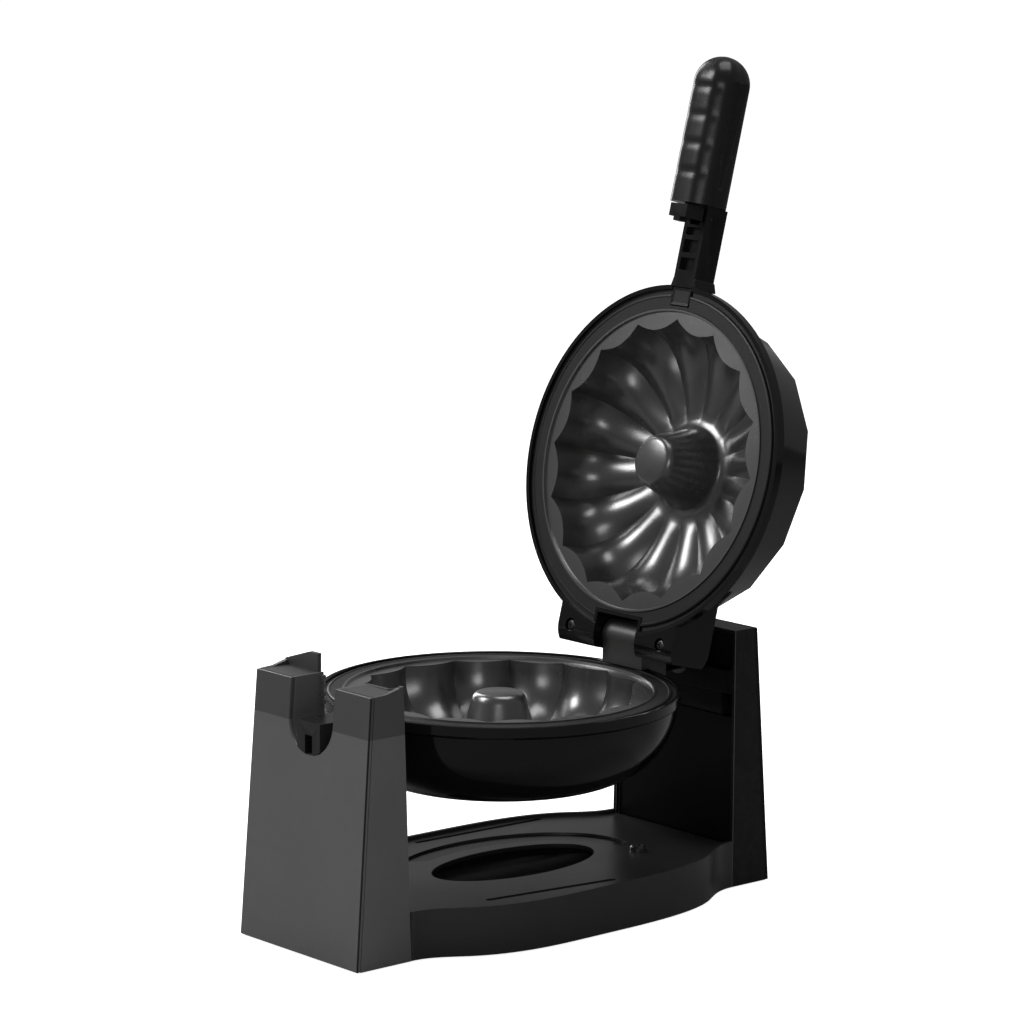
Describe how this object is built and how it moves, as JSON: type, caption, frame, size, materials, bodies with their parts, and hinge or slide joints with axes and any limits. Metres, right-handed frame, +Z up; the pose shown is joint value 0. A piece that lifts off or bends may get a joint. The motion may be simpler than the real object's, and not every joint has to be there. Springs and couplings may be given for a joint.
{
  "type": "electric cake maker",
  "caption": "Countertop ring-cake maker: fluted pans in a round bowl and hinged lid that turn together in a stand with two towers.",
  "frame": {"origin": "middle of the whole object's box, on the surface it stands on, with the lid open", "axes": "+X to the right seen from the front tower, +Y from the front tower to the rear tower, +Z up"},
  "size_m": [0.24, 0.3836, 0.56],
  "materials": {
    "gloss_black": "glossy",
    "matt_black": "satin",
    "nonstick": "satin non-stick coating",
    "steel": "brushed",
    "bright_plate": "bright",
    "rubber": "matt",
    "insulator": "matt"
  },
  "bodies": {
    "stand": {"base_shell": "gloss_black", "front_tower": "gloss_black", "front_cover": "gloss_black", "notch_liner": "matt_black", "rear_tower": "gloss_black", "rear_cover": "gloss_black", "cord_inlet": "rubber", "bottom_cover": "matt_black", "base_screws": "steel", "bearing_housing": "matt_black", "rear_bush": "insulator", "terminal_block": "insulator", "foot_1": "rubber", "foot_2": "rubber", "foot_3": "rubber", "foot_4": "rubber"},
    "cooker": {"lower_shell": "gloss_black", "lower_pan": "nonstick", "lower_element": "steel", "lower_reflector": "bright_plate", "lower_pan_screws": "steel", "thermostat": "steel", "thermal_fuse": "steel", "hinge_block": "matt_black", "hinge_pin": "steel", "rear_axle": "steel", "axle_ring": "steel", "front_neck": "matt_black"},
    "lid": {"lid_shell": "gloss_black", "lid_pan": "nonstick", "upper_element": "steel", "upper_reflector": "bright_plate", "upper_thermostat": "steel", "lid_pan_screws": "steel", "lid_neck": "matt_black", "grip_lower": "gloss_black", "grip_upper": "gloss_black", "handle_screws": "steel", "latch_pin": "steel"},
    "latch": {"latch": "matt_black"}
  },
  "joints": [
    {"name": "cooker_turn", "type": "hinge", "parent": "stand", "child": "cooker", "pos_m": [0, 0.1096, 0.15165], "axis": [0, 1, 0], "range_deg": [-20, 20]},
    {"name": "lid_hinge", "type": "hinge", "parent": "cooker", "child": "lid", "pos_m": [0, 0.0976, 0.17005], "axis": [1, 0, 0], "range_deg": [0, 104.2]},
    {"name": "latch_swing", "type": "hinge", "parent": "lid", "child": "latch", "pos_m": [0, 0.15618, 0.45127], "axis": [1, 0, 0], "range_deg": [0, 8]}
  ]
}
